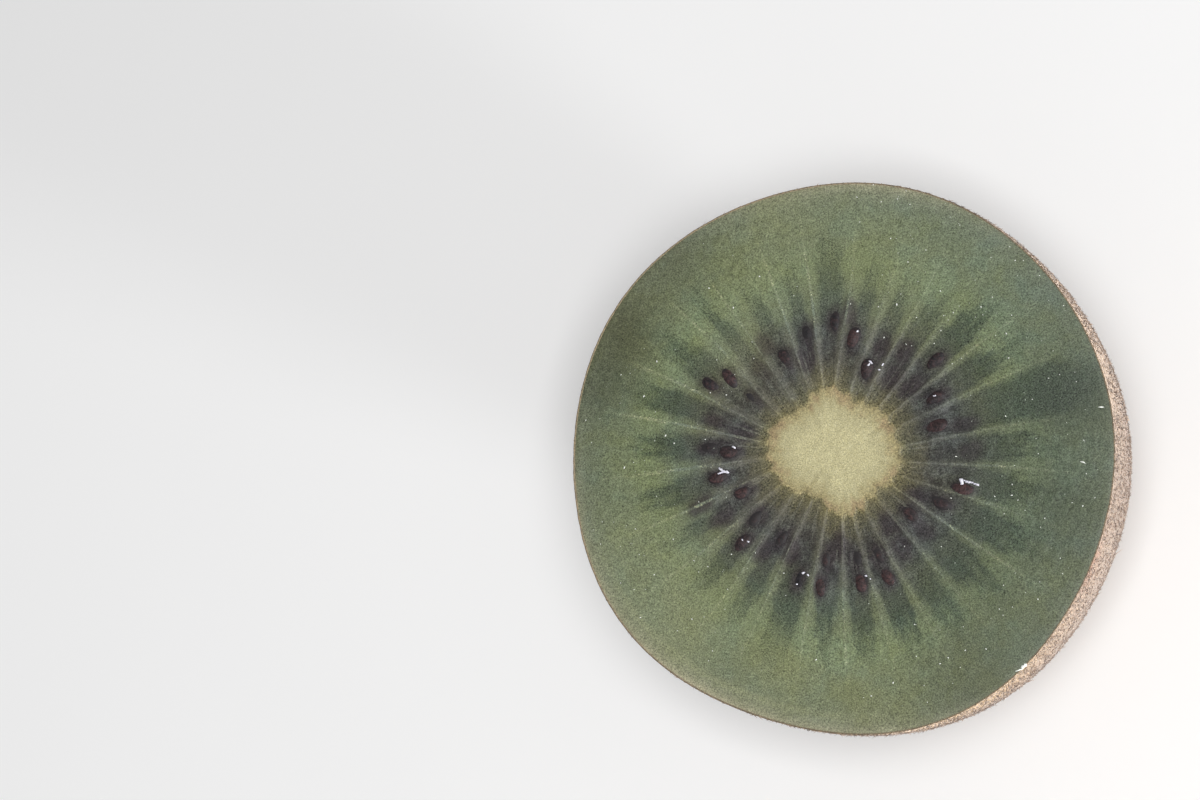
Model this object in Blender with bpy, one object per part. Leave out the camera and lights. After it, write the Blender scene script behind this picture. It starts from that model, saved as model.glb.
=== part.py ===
"""Half of a green kiwi fruit, cut across and standing on its stalk end, in metres with +Z up.

Two solids: the flesh, from the cut face down to the small flat foot, and the pale core, which
runs down through the flesh from the cut and tapers to a round tip above the stalk end.
"""
import math

import bmesh
import bpy

# Driving sizes, in metres.
FACE_RADIUS = 0.0269      # mean radius of the cut face, skin included
DEPTH = 0.0325            # from the foot up to the cut face
FOOT_RADIUS = 0.0050      # flat spot at the stalk end, where the stalk left its scar
SIDE_FULLNESS = 2.18      # exponent of the side's curve: 2 is an ellipse, more is fuller

CORE_RADIUS = 0.00588     # mean radius of the core at the cut
CORE_OFFSET = (-0.00025, 0.00062)   # the core's middle, from the fruit's axis
CORE_LENGTH = 0.0270      # from the cut face down to the core's tip
CORE_TAPER = 0.62         # share of its radius that the core loses towards its tip
CORE_GAP = 0.0003         # clearance between the core and the flesh round it

# Waves round an outline: (how many, height over mean radius, crest's angle in degrees from +X).
FACE_WAVES = ((2, 0.018, -23.0), (3, 0.006, 60.0), (4, 0.005, 33.0), (5, 0.007, 2.0))
CORE_WAVES = ((2, 0.098, -17.0), (3, 0.034, -58.0), (4, 0.058, 6.0), (6, 0.049, -20.0))

# How finely the curved sides are faceted.
FLESH_COLUMNS = 84
CORE_COLUMNS = 48
SIDE_RINGS = 24
SOCKET_RINGS = 14


def clear_scene():
    """Start from an empty scene."""
    for thing in list(bpy.data.objects):
        bpy.data.objects.remove(thing, do_unlink=True)


def food_material(name, colour, roughness):
    """A plain, non-metallic material."""
    material = bpy.data.materials.new(name)
    material.use_nodes = True
    shader = material.node_tree.nodes["Principled BSDF"]
    shader.inputs["Base Color"].default_value = (*colour, 1.0)
    shader.inputs["Roughness"].default_value = roughness
    shader.inputs["Metallic"].default_value = 0.0
    return material


def wavy(angle, waves):
    """Radius over mean radius, at an angle in radians, of an outline with these waves."""
    return 1.0 + sum(
        height * math.cos(count * (angle - math.radians(crest)))
        for count, height, crest in waves
    )


def outline_middle(radius, waves):
    """Middle of the box round a wavy outline, so that the part can be centred on it."""
    steps = [math.radians(step) for step in range(360)]
    across = [radius * wavy(angle, waves) * math.cos(angle) for angle in steps]
    along = [radius * wavy(angle, waves) * math.sin(angle) for angle in steps]
    return (max(across) + min(across)) / 2.0, (max(along) + min(along)) / 2.0


def ring(middle, radius, waves, height, columns):
    """One level ring of points."""
    points = []
    for column in range(columns):
        angle = math.tau * column / columns
        reach = radius * wavy(angle, waves)
        points.append((
            middle[0] + reach * math.cos(angle),
            middle[1] + reach * math.sin(angle),
            height,
        ))
    return points


def loft(name, rings, material):
    """A closed solid whose skin runs through the rings in turn, flat across the two ends."""
    mesh = bpy.data.meshes.new(name)
    build = bmesh.new()
    rows = [[build.verts.new(point) for point in points] for points in rings]
    columns = len(rows[0])
    for lower, upper in zip(rows, rows[1:]):
        for column in range(columns):
            after = (column + 1) % columns
            build.faces.new((lower[column], lower[after], upper[after], upper[column]))
    build.faces.new(list(reversed(rows[0])))
    build.faces.new(rows[-1])
    bmesh.ops.recalc_face_normals(build, faces=build.faces)
    build.to_mesh(mesh)
    build.free()
    mesh.materials.append(material)
    mesh.shade_smooth()
    mesh.set_sharp_from_angle(angle=math.radians(40.0))
    solid = bpy.data.objects.new(name, mesh)
    bpy.context.scene.collection.objects.link(solid)
    return solid


def side_rings(middle):
    """Rings up the outside of the half, from the foot to the cut face."""
    foot_share = (FOOT_RADIUS / FACE_RADIUS) ** SIDE_FULLNESS
    pole_depth = DEPTH / (1.0 - foot_share) ** (1.0 / SIDE_FULLNESS)
    rings = []
    for step in range(SIDE_RINGS + 1):
        share = math.sin(math.pi / 2.0 * (1.0 - step / SIDE_RINGS))
        depth = DEPTH * share
        reach = (1.0 - (depth / pole_depth) ** SIDE_FULLNESS) ** (1.0 / SIDE_FULLNESS)
        rings.append(ring(middle, FACE_RADIUS * reach, FACE_WAVES, DEPTH - depth, FLESH_COLUMNS))
    return rings


def core_rings(middle, clearance, columns, steps):
    """Rings down the core, or with a clearance its socket, from the cut face to the tip."""
    rings = []
    length = CORE_LENGTH + clearance
    for step in range(steps + 1):
        depth = length * math.sin(math.pi / 2.0 * step / (steps + 1))
        share = depth / length
        reach = (1.0 - CORE_TAPER * share) * math.sqrt(1.0 - share ** 6)
        rings.append(ring(
            middle, CORE_RADIUS * reach + clearance, CORE_WAVES, DEPTH - depth, columns,
        ))
    return rings


def build_flesh(axis, core_middle):
    """The flesh with its skin: up the outside, over the cut face, down into the core's socket."""
    green = food_material("flesh", (0.150, 0.190, 0.110), 0.35)
    socket = core_rings(core_middle, CORE_GAP, FLESH_COLUMNS, SOCKET_RINGS)
    return loft("flesh", side_rings(axis) + socket, green)


def build_core(core_middle):
    """The pale core."""
    cream = food_material("core", (0.530, 0.490, 0.280), 0.50)
    return loft("core", core_rings(core_middle, 0.0, CORE_COLUMNS, SOCKET_RINGS), cream)


def main():
    """Build the half with the middle of its box on the Z axis and its foot at zero height."""
    clear_scene()
    middle = outline_middle(FACE_RADIUS, FACE_WAVES)
    axis = (-middle[0], -middle[1])
    core_middle = (axis[0] + CORE_OFFSET[0], axis[1] + CORE_OFFSET[1])
    build_flesh(axis, core_middle)
    build_core(core_middle)


main()
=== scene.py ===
"""The looks of the kiwi fruit half: a wet, grainy cut face inside a thin hairy peel.

The cut face is laid out in fruit coordinates. A lane is one seed chamber between two pale walls,
counted round the core, and a share runs from 0 at the core's edge to 1 at the peel.
"""

import math

import bpy
import numpy as np
from mathutils import Matrix, Vector, noise
from numpy.random import default_rng


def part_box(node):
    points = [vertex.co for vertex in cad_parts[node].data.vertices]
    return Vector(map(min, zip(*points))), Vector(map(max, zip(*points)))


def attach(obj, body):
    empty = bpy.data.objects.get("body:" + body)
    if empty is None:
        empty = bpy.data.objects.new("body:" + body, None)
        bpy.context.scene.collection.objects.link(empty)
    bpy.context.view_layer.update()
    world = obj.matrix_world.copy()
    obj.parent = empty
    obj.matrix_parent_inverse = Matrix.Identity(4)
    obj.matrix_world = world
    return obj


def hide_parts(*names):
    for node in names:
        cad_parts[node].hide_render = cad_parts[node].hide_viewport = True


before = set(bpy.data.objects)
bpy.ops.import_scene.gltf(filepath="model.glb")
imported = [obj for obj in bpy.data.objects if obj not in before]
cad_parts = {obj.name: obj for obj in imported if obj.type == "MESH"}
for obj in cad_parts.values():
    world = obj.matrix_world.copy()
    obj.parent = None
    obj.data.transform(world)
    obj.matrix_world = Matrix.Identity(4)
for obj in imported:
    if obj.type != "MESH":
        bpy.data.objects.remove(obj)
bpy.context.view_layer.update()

MM = 0.001

# ---------------------------------------------------------------- sizes, as in the CAD model
FACE_RADIUS = 26.9 * MM
FOOT_RADIUS = 5.0 * MM
SIDE_FULLNESS = 2.18
CORE_RADIUS = 5.88 * MM
CORE_OFFSET = np.array((-0.25, 0.62)) * MM
CORE_LENGTH = 27.0 * MM
FACE_WAVES = ((2, 0.018, -23.0), (3, 0.006, 60.0), (4, 0.005, 33.0), (5, 0.007, 2.0))
CORE_WAVES = ((2, 0.098, -17.0), (3, 0.034, -58.0), (4, 0.058, 6.0), (6, 0.049, -20.0))
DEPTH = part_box("flesh")[1].z

# ---------------------------------------------------------------- what the cut face shows
# The seed chambers, each with the pale wall on its clockwise side: the wall's angle in degrees at the
# core and further out, how pale the wall is, the share of the way to the peel at which the chamber's
# dark finger has half faded, and the finger's breadth against the usual.
CHAMBERS = (
    (2, 6, 0.50, 0.90, 1.15), (18, 21, 0.50, 0.60, 1.05), (31, 34, 0.60, 0.60, 1.05),
    (43, 48, 0.05, 0.50, 1.20), (59, 59, 0.50, 0.50, 0.80), (76, 71, 0.40, 0.50, 0.75),
    (91, 84, 0.50, 0.70, 0.80), (101, 99, 1.00, 0.50, 0.80), (114, 111, 0.75, 0.50, 0.70),
    (131, 127, 0.75, 0.60, 0.70), (148, 138, 0.75, 0.60, 0.75), (162, 156, 0.95, 0.65, 0.85),
    (172, 169, 1.10, 0.60, 0.80), (184, 185, 0.80, 0.60, 0.80), (195, 200, 0.80, 0.50, 0.70),
    (209, 215, 0.80, 0.55, 0.75), (223, 231, 0.60, 0.55, 0.80), (243, 244, 0.70, 0.65, 0.90),
    (261, 260, 0.65, 0.55, 0.95), (276, 273, 0.55, 0.55, 0.95), (285, 286, 0.35, 0.55, 1.00),
    (296, 299, 0.40, 0.60, 1.05), (311, 311, 0.55, 0.60, 1.05), (328, 326, 1.20, 0.65, 1.10),
    (338, 340, 0.60, 0.60, 1.10), (349, 353, 1.00, 0.60, 1.05),
)
# Where the flesh is paler just inside the peel: bearing and spread in degrees, and how much.
PALE_RIMS = ((84, 27, 0.75), (240, 32, 1.10), (195, 18, 0.25), (284, 16, 0.30))
# Seeds in the cut: angle in degrees, distance from the core's middle in millimetres, how much of
# the seed shows and how red it is (0 to 1), and its turn in degrees away from the core's middle.
SEEDS = (
    (90.5, 12.5, 0.75, 0.3, 0), (104.0, 11.5, 0.65, 0.1, 4), (119.0, 10.2, 0.75, 0.5, 5),
    (80.0, 10.9, 1.00, 0.8, -10), (66.5, 8.2, 0.95, 0.6, 14), (39.0, 13.2, 0.95, 0.4, 0),
    (145.0, 13.0, 0.90, 0.9, -24), (151.5, 14.2, 0.85, 0.4, 0), (25.0, 11.1, 1.00, 0.5, 3),
    (147.0, 9.8, 0.30, 0.5, 0), (11.5, 10.2, 1.00, 0.8, 10), (177.0, 12.7, 0.60, 0.3, 0),
    (179.0, 10.6, 0.90, 0.6, -5), (190.5, 12.0, 0.90, 0.9, 0), (342.5, 13.3, 0.95, 1.0, 8),
    (202.0, 9.9, 0.75, 0.9, 0), (320.0, 9.7, 0.80, 0.7, 0), (333.5, 11.9, 0.70, 0.6, 0),
    (218.5, 10.0, 0.50, 0.8, 0), (238.0, 9.9, 0.60, 0.5, 0), (223.0, 12.6, 0.90, 0.6, -3),
    (253.5, 12.9, 0.80, 0.0, 0), (263.5, 13.0, 0.90, 0.8, 8), (266.0, 10.4, 0.55, 0.7, 0),
    (281.5, 13.0, 0.90, 1.0, 5), (281.5, 10.7, 0.45, 0.2, 0), (293.0, 13.2, 0.85, 0.9, 7),
    (293.0, 11.1, 0.55, 0.8, 4),
)
# Seeds that only darken the pulp from below: angle, distance.
SUNKEN_SEEDS = (
    (64, 10.8), (358, 13.4), (37, 9.5), (53, 11.5), (133, 11.0), (165, 12.5), (168, 9.5),
    (209, 13.0), (246, 10.5), (305, 11.5), (307, 9.0), (318, 11.8), (331, 9.5), (273, 9.0),
    (9, 13.0), (50, 9.0), (108, 9.4), (200, 14.5), (84, 13.4), (124, 12.6), (233, 11.8),
)

# Wet jelly on the seeds, coloured near white as painted glints: angle, distance, half length and
# half width in millimetres, heading in degrees.
JELLY_GLINTS = (
    (345.5, 13.8, 1.00, 0.11, -17), (345.0, 13.0, 0.26, 0.16, -50), (344.0, 13.1, 0.14, 0.07, 10),
    (188.5, 11.3, 0.52, 0.13, -22), (189.0, 11.7, 0.32, 0.08, 22), (187.0, 11.7, 0.14, 0.11, -60),
    (66.5, 9.1, 0.19, 0.11, -40), (67.0, 8.8, 0.15, 0.10, 45), (59.0, 9.4, 0.14, 0.06, 55),
    (59.5, 8.8, 0.08, 0.07, 0), (176.5, 10.2, 0.20, 0.11, -35), (78.5, 11.6, 0.12, 0.11, 0),
    (26.0, 11.1, 0.18, 0.06, 10), (222.0, 12.5, 0.12, 0.08, -60), (224.5, 12.2, 0.10, 0.09, 0),
    (255.0, 12.1, 0.12, 0.10, 0), (257.5, 12.2, 0.15, 0.08, -40), (253.5, 13.3, 0.08, 0.07, 0),
    (284.5, 12.5, 0.13, 0.12, 0), (286.0, 12.9, 0.08, 0.06, 0),
)
# Where bits of burst pulp and painted glints gather: angle and spread in degrees.
FLECK_DRIFTS = ((48, 18), (68, 14), (5, 25), (318, 22), (165, 25), (215, 30), (270, 90), (0, 120))
# Larger shreds of pulp: angle, distance, half length, half width, heading in degrees.
SHREDS = (
    (311.5, 27.9, 0.30, 0.15, 15), (312.0, 27.9, 0.16, 0.12, -20), (310.0, 27.8, 0.24, 0.04, 12),
    (310.5, 27.9, 0.30, 0.05, 20), (7.0, 26.3, 0.24, 0.055, -3), (355.5, 24.4, 0.26, 0.07, -22),
)
# Broad soft shade on the face: angle, distance and spread in millimetres, how much darker (or
# below zero lighter), and how much warmer (or below zero cooler).
SHADES = (
    (12, 20.5, 3.5, 0.60, -0.3), (11, 25.0, 4.2, 0.80, -0.4), (344, 22.5, 6.2, 0.70, -0.5),
    (322, 17.5, 5.0, 0.35, 0.0), (305, 24.0, 6.0, 0.50, 0.2), (291, 15.5, 4.5, 0.10, 0.0),
    (355, 14.5, 4.0, 0.25, 0.0), (35, 25.5, 5.0, 0.10, -0.6), (62, 25.5, 6.0, 0.00, -0.6),
    (90, 25.5, 5.0, -0.10, -0.4), (90, 20.0, 5.0, -0.35, 0.0), (65, 19.0, 5.0, -0.30, 0.1),
    (105, 24.5, 4.5, -0.55, 0.0), (120, 17.5, 4.0, -0.20, 0.2), (131, 26.0, 3.8, 0.50, 0.4),
    (150, 25.0, 4.2, 0.90, 0.9), (165, 25.0, 3.6, 0.70, 0.2), (205, 22.5, 5.5, -0.50, -0.1),
    (227, 23.0, 5.3, -0.85, -0.1), (255, 21.5, 4.2, -0.50, 0.2), (279, 24.7, 4.5, -0.40, 0.3),
    (195, 15.5, 3.0, 0.10, 0.0), (138, 13.5, 3.5, -0.35, 0.0),
)
SEED_SIZES = np.array((1.22, 0.72, 0.32))   # half sizes of a seed, in millimetres
LANE_COLUMNS = 14          # mesh columns in each lane, an even number
FACE_RINGS = 120           # mesh rings from the core to the peel
PEEL = 0.17 * MM           # thickness of the peel
PEEL_COLUMNS = 480
PEEL_RINGS = 160
BEND_SHARE = 0.55          # walls settle to their outer angle by this share
FLECKS = 330               # tiny bits of burst pulp, many painted white as glints
FLECK_REACH = 26.0         # how far out they lie, in millimetres
# The peel is painted paler on its lit side, as light would make it, and keeps its own brown away from there.
PAINTED_LIT_SIDE = 341.0          # bearing of the palest part of the peel, in degrees
BROWN_BACK = (78.0, 122.0)    # degrees away from it over which the peel turns brown
BROWN_LOW = (11.0, 20.0)      # millimetres below the cut over which it does the same
# Where the peel is golden by the cut, and where rusty: bearing and spread in degrees, how much.
GOLDEN = ((292, 26, 1.1), (34, 22, 1.0))
RUSTY = ((336, 7, 0.8),)
# The faint ring of vessels: millimetres inside the peel, half breadth in millimetres, and the
# bearings in degrees between which it comes and between which it goes.
VESSELS = (1.5, 0.35, (190.0, 225.0), (262.0, 292.0))
# Rings of the corky foot: share of its radius, height in millimetres, how corky.
FOOT_RINGS = (
    (1.0, 0.0, 0.0), (0.86, 0.0, 0.3), (0.74, 0.10, 1.0), (0.62, 0.16, 0.4),
    (0.50, 0.34, 1.0), (0.34, 0.30, 0.8), (0.20, 0.22, 1.0), (0.08, 0.30, 1.0),
)
# Hairs: how many, how far below the cut the highest roots are on the brown back and on the pale
# side, the shortest and the longest, and the radius at the root, in millimetres, and their rings.
SHORT_FUZZ = (46000, (0.12, 0.12), (0.28, 0.60), 0.045, 1)
LONG_FUZZ = (1600, (3.5, 14.0), (0.9, 2.3), 0.038, 4)


# ---------------------------------------------------------------- shape
def wavy(angle, waves):
    """Radius over mean radius of an outline with these waves, at angles in radians."""
    total = np.ones_like(angle)
    for count, height, crest in waves:
        total = total + height * np.cos(count * (angle - math.radians(crest)))
    return total


def outline_middle(radius, waves):
    """Middle of the box round a wavy outline."""
    angle = np.radians(np.arange(360.0))
    reach = radius * wavy(angle, waves)
    points = np.stack((reach * np.cos(angle), reach * np.sin(angle)), axis=-1)
    return (points.max(axis=0) + points.min(axis=0)) / 2.0


AXIS = -outline_middle(FACE_RADIUS, FACE_WAVES)
CORE_MIDDLE = AXIS + CORE_OFFSET


def rim_reach(angle, inset=0.0):
    """Distance from the core's middle to the outline, less an inset, at angles in radians."""
    reach = np.full_like(angle, FACE_RADIUS)
    for _ in range(12):
        across, along = (on_face(angle, reach) - AXIS).T
        limit = FACE_RADIUS * wavy(np.arctan2(along, across), FACE_WAVES) - inset
        reach = reach + limit - np.hypot(across, along)
    return reach


def smooth(edge_low, edge_high, value):
    """Smooth step from 0 to 1 between two edges."""
    share = np.clip((value - edge_low) / (edge_high - edge_low), 0.0, 1.0)
    return share * share * (3.0 - 2.0 * share)


def rough(points, scale, octaves=3):
    """Fractal noise about 0 at points, with features about scale metres across."""
    return np.array([
        noise.fractal(Vector(point) / scale, 1.0, 2.0, octaves) for point in points
    ])


def bearing_gap(bearing, middle):
    """Degrees from one bearing to another, between -180 and 180."""
    return (bearing - middle + 180.0) % 360.0 - 180.0


def rim_patches(bearing, rows):
    """Soft patches round the rim: each row is a bearing and a spread in degrees, and how much."""
    return sum(
        much * np.exp(-(bearing_gap(bearing, middle) / spread) ** 2) for middle, spread, much in rows
    )


def browning(angle, depth):
    """0 where the peel is painted pale as if lit, on one side near the cut; 1 round its back and low down.
    """
    gap = np.abs(bearing_gap(np.degrees(angle), PAINTED_LIT_SIDE))
    return np.maximum(smooth(*BROWN_BACK, gap), smooth(*BROWN_LOW, depth / MM))


class Lanes:
    """Angles and random traits of the seed chambers, column by column round the core."""

    def __init__(self):
        stream = default_rng(11)
        count = len(CHAMBERS)
        inner, outer, paleness, self.reach, self.breadth = np.array(CHAMBERS).T
        inner = np.append(inner, inner[0] + 360.0)
        outer = np.append(outer, outer[0] + 360.0)
        self.columns = count * LANE_COLUMNS
        self.lane = np.arange(self.columns) / LANE_COLUMNS
        self.inner = np.radians(np.interp(self.lane, np.arange(count + 1), inner))
        self.outer = np.radians(np.interp(self.lane, np.arange(count + 1), outer))
        self.index = np.floor(self.lane).astype(int)
        self.across = np.abs(2.0 * (self.lane - self.index) - 1.0)
        self.dark = stream.uniform(0.85, 1.0, count)
        self.vein = paleness[np.rint(self.lane).astype(int) % count]
        self.width = np.radians(np.diff(inner))

    def spur(self):
        """How far the core's edge runs out into each wall, less its notch at each chamber."""
        stream = default_rng(12)
        depth = stream.uniform(0.20, 0.60, len(CHAMBERS) + 1)
        depth[-1] = depth[0]
        chips = stream.normal(0.0, 0.045, self.columns)
        spurs = np.interp(self.lane, np.arange(len(depth)), depth)
        return ((self.across - 0.45) * spurs + chips) * MM


LANES = Lanes()


def core_edge():
    """Distance of the core's toothed edge from its middle, for each column."""
    return CORE_RADIUS * wavy(LANES.inner, CORE_WAVES) + LANES.spur()


def face_grid(shares):
    """Angle and distance from the core's middle of each point of the face, ring by ring."""
    settle = np.clip(shares[:, None] / BEND_SHARE, 0.0, 1.0)
    turn = 1.0 - (1.0 - settle) ** 2
    angle = LANES.inner[None, :] + (LANES.outer - LANES.inner)[None, :] * turn
    near = core_edge()[None, :]
    far = rim_reach(angle.ravel(), PEEL).reshape(angle.shape)
    return angle, near + (far - near) * shares[:, None]


def on_face(angle, reach):
    """Flat place of points given round the core's middle."""
    return np.stack((
        CORE_MIDDLE[0] + reach * np.cos(angle),
        CORE_MIDDLE[1] + reach * np.sin(angle),
    ), axis=-1)


def spot(angle, reach):
    """Flat place at an angle in degrees and a distance in millimetres from the core's middle."""
    return on_face(math.radians(angle), reach * MM)


def seed_places(rows):
    """Flat place of each seed in a list that starts with its angle and distance."""
    return np.array([spot(*row[:2]) for row in rows])


def soft_spots(places, spots, length, width):
    """For each place, 1 on a seed-shaped spot that points to the core, and 0 well away from it."""
    best = np.full(len(places), 9.0)
    for middle in spots:
        outward = (middle - CORE_MIDDLE) / np.hypot(*(middle - CORE_MIDDLE))
        away = places - middle
        along = away @ outward
        beside = away @ np.array((-outward[1], outward[0]))
        best = np.minimum(best, np.hypot(along / length, beside / width))
    return 1.0 - smooth(0.55, 1.6, best)


def side_reach(depth):
    """Share of the face's radius that the side keeps at a depth below the cut."""
    foot_share = (FOOT_RADIUS / FACE_RADIUS) ** SIDE_FULLNESS
    pole_depth = DEPTH / (1.0 - foot_share) ** (1.0 / SIDE_FULLNESS)
    return (1.0 - (depth / pole_depth) ** SIDE_FULLNESS) ** (1.0 / SIDE_FULLNESS)


# ---------------------------------------------------------------- meshes
def new_object(name, data):
    """An object in the scene."""
    thing = bpy.data.objects.new(name, data)
    bpy.context.scene.collection.objects.link(thing)
    return thing


def new_piece(name, points, faces, material, sharp=60.0):
    """A smooth-shaded mesh object, with sharp edges where faces meet at more than an angle."""
    mesh = bpy.data.meshes.new(name)
    mesh.from_pydata([tuple(point) for point in points], [], faces)
    mesh.validate()
    mesh.materials.append(material)
    mesh.shade_smooth()
    mesh.set_sharp_from_angle(angle=math.radians(sharp))
    return new_object(name, mesh)


def add_values(piece, where="POINT", **values):
    """Store numbers under each name, one for each vertex or "CORNER", for the material to read."""
    for name, numbers in values.items():
        layer = piece.data.attributes.new(name, "FLOAT", where)
        layer.data.foreach_set("value", np.asarray(numbers, dtype=np.float32))


def whole_numbers(things, name):
    """One whole number from each of a mesh's things."""
    numbers = np.zeros(len(things), dtype=np.int32)
    things.foreach_get(name, numbers)
    return numbers


class Corners:
    """Where each face corner lies on a piece made of rings of so many columns."""

    def __init__(self, mesh, columns):
        self.vertex = whole_numbers(mesh.loops, "vertex_index")
        starts = whole_numbers(mesh.polygons, "loop_start")
        totals = whole_numbers(mesh.polygons, "loop_total")
        column = self.vertex % columns
        first = np.minimum.reduceat(column, starts)
        last = np.maximum.reduceat(column, starts)
        self.ring = self.vertex // columns
        self.face_ring = np.repeat(np.minimum.reduceat(self.ring, starts), totals)
        self.last_ring = np.repeat(np.maximum.reduceat(self.ring, starts), totals)
        self.face_column = np.repeat(np.where(last - first > 1, columns - 1, first), totals)
        self.column = self.face_column + (column != self.face_column)


def add_bake_map(piece, across, up):
    """The flat map that colours are baked on: two numbers from 0 to 1 for each face corner."""
    layer = piece.data.uv_layers.new(name="OFBake")
    layer.uv.foreach_set("vector", np.column_stack((across, up)).astype(np.float32).ravel())


def map_cut_face(piece, columns, first_ring, last_ring, half_width):
    """Lay the cut face flat on the bake map, and what is hidden in one corner of it."""
    corners = Corners(piece.data, columns)
    place = np.array([tuple(vertex.co) for vertex in piece.data.vertices])[corners.vertex]
    shown = (corners.face_ring >= first_ring) & (corners.last_ring <= last_ring)
    add_bake_map(
        piece,
        np.where(shown, 0.5 + 0.5 * place[:, 0] / half_width, 0.10 * corners.column / columns),
        np.where(shown, 0.5 + 0.5 * place[:, 1] / half_width, 0.10 * corners.ring / last_ring),
    )


def ring_faces(rings, columns, start=0):
    """Quads between rings of points laid one after the other."""
    faces = []
    for ring in range(rings - 1):
        low = start + ring * columns
        high = low + columns
        for column in range(columns):
            after = (column + 1) % columns
            faces.append((low + column, high + column, high + after, low + after))
    return faces


def level_ring(flat, height):
    """Flat places as points at one height."""
    return np.column_stack((flat, np.full(len(flat), height)))


def capped_tube(blocks, columns):
    """Points and faces of a tube through rings of points, closed at both ends."""
    points = np.vstack(blocks)
    last = len(points) - columns
    faces = ring_faces(len(points) // columns, columns)
    faces.append(tuple(range(columns)))
    faces.append(tuple(reversed(range(last, len(points)))))
    return points, faces


def face_height(places, across, share, core_mm):
    """Relief of the cut face above its plane, in metres."""
    grain, fine, swell = (
        rough([(x, y, layer) for x, y in places], scale * MM, octaves)
        for layer, scale, octaves in ((0.0, 0.9, 3), (0.02, 0.42, 2), (0.05, 6.0, 2))
    )
    outside = smooth(0.0, 0.5, core_mm)
    chamber = (1.0 - across ** 3) * outside * (1.0 - smooth(0.25, 0.62, share))
    ridge = across ** 10 * outside * (1.0 - smooth(0.35, 0.70, share))
    crown = 1.0 - smooth(-3.0, 0.4, core_mm)
    rim = smooth(0.985, 1.0, share)
    height = 0.030 * grain + 0.018 * fine + 0.050 * swell
    height = height - 0.07 * chamber + 0.03 * ridge + 0.06 * crown - 0.06 * rim - 0.05
    return height * MM


def root_rings(deepest, taper):
    """Rings of the core's tapering root, or of its socket, from its deepest ring to the top one."""
    rings = []
    for share in np.linspace(deepest, 0.06, 8):
        reach = core_edge() * (1.0 - taper * share)
        rings.append(level_ring(on_face(LANES.inner, reach), DEPTH - share * CORE_LENGTH))
    return rings


def side_rings(rim):
    """Rings of the flesh just inside the peel, from below the cut down to the stalk end."""
    rings = []
    for depth in np.linspace(0.4, 0.97, 14) ** 1.4 * (DEPTH - PEEL):
        kept = side_reach(depth) * (1.0 - PEEL / FACE_RADIUS)
        rings.append(level_ring(AXIS + (rim - AXIS) * kept, DEPTH - depth))
    rings.append(level_ring(AXIS + (rim - AXIS) * 0.10, PEEL * 1.6))
    return rings


def face_tones(flat):
    """How much darker and how much warmer the flesh is at each flat place."""
    shade = np.zeros(len(flat))
    warmth = np.zeros(len(flat))
    for angle, reach, spread, darker, warmer in SHADES:
        gap = np.hypot(*(flat - spot(angle, reach)).T) / MM
        near = np.exp(-(gap / spread) ** 2)
        shade += darker * near
        warmth += warmer * near
    return shade, warmth


def rim_tones(bearing, rim_mm):
    """The faint ring of vessels inside the peel, and the paler line right under it."""
    inside, breadth, comes, goes = VESSELS
    ring = np.exp(-((rim_mm - inside) / breadth) ** 2)
    ring = ring * smooth(*comes, bearing) * (1.0 - smooth(*goes, bearing))
    return ring, (0.06 + rim_patches(bearing, PALE_RIMS)) * np.exp(-rim_mm / 0.70)


def build_flesh(material):
    """The green flesh: its cut face, the side just inside the peel, and the core's socket."""
    columns = LANES.columns
    steps = np.linspace(0.0, 1.0, FACE_RINGS)
    shares = 0.55 * steps + 0.45 * steps ** 1.6
    angle, reach = face_grid(shares)
    flat = on_face(angle, reach).reshape(-1, 2)
    across = np.tile(LANES.across, len(shares))
    share = np.repeat(shares, columns)
    core_mm = ((reach - core_edge()[None, :]) / MM).ravel()
    face = np.column_stack((flat, DEPTH + face_height(flat, across, share, core_mm)))
    seeds = seed_places(SEEDS)
    for middle, row in zip(seeds, SEEDS):
        gap = np.hypot(*(flat - middle).T) / MM
        face[:, 2] += 0.12 * MM * (1.0 - smooth(0.5, 1.9, gap)) * row[2]
    rim = on_face(angle[-1], reach[-1])
    socket = root_rings(0.97, 0.55)
    points, faces = capped_tube(socket + [face] + side_rings(rim), columns)
    piece = new_piece("cut_flesh", points, faces, material, sharp=50.0)

    wander = rough([(x, y, 0.4) for x, y in flat], 1.4 * MM, 2)[:, None] * 0.30 * MM
    lane_half = 0.5 * LANES.width[LANES.index][None, :] * reach / MM
    rim_mm = ((reach[-1][None, :] - reach) / MM).ravel()
    shade, warmth = face_tones(flat)
    ring, pale_rim = rim_tones(np.degrees(angle).ravel() % 360.0, rim_mm)
    before = len(socket) * columns
    after = len(points) - before - len(face)
    looks = {
        "across": (1.0, across, 1.0),
        "share": (0.0, share, 1.0),
        "core_mm": (-1.0, core_mm, 20.0),
        "wall_mm": (1.0, ((1.0 - LANES.across)[None, :] * lane_half).ravel(), 1.0),
        "ring": (0.0, ring, 0.0),
        "pale_rim": (0.0, pale_rim, 0.3),
        "warmth": (0.0, warmth, 0.0),
        "halo": (0.0, soft_spots(flat + wander, seeds, 1.26 * MM, 0.74 * MM), 0.0),
        "bury": (0.0, soft_spots(flat + wander, seed_places(SUNKEN_SEEDS), 1.30 * MM, 0.80 * MM), 0.0),
        "shade": (0.0, shade, 0.0),
        "lane": (0.0, np.tile(LANES.lane, len(shares)), 0.0),
        "vein": (0.0, np.tile(LANES.vein, len(shares)), 0.0),
    }
    for name, (above, numbers, below) in looks.items():
        numbers = np.concatenate((np.full(before, above), numbers, np.full(after, below)))
        add_values(piece, **{name: numbers})
    lane = LANES.index[Corners(piece.data, columns).face_column]
    add_values(
        piece, "CORNER", reach=LANES.reach[lane], breadth=LANES.breadth[lane], dark=LANES.dark[lane],
    )
    map_cut_face(piece, columns, len(socket), len(socket) + FACE_RINGS - 1, 1.03 * FACE_RADIUS)
    return piece


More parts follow.
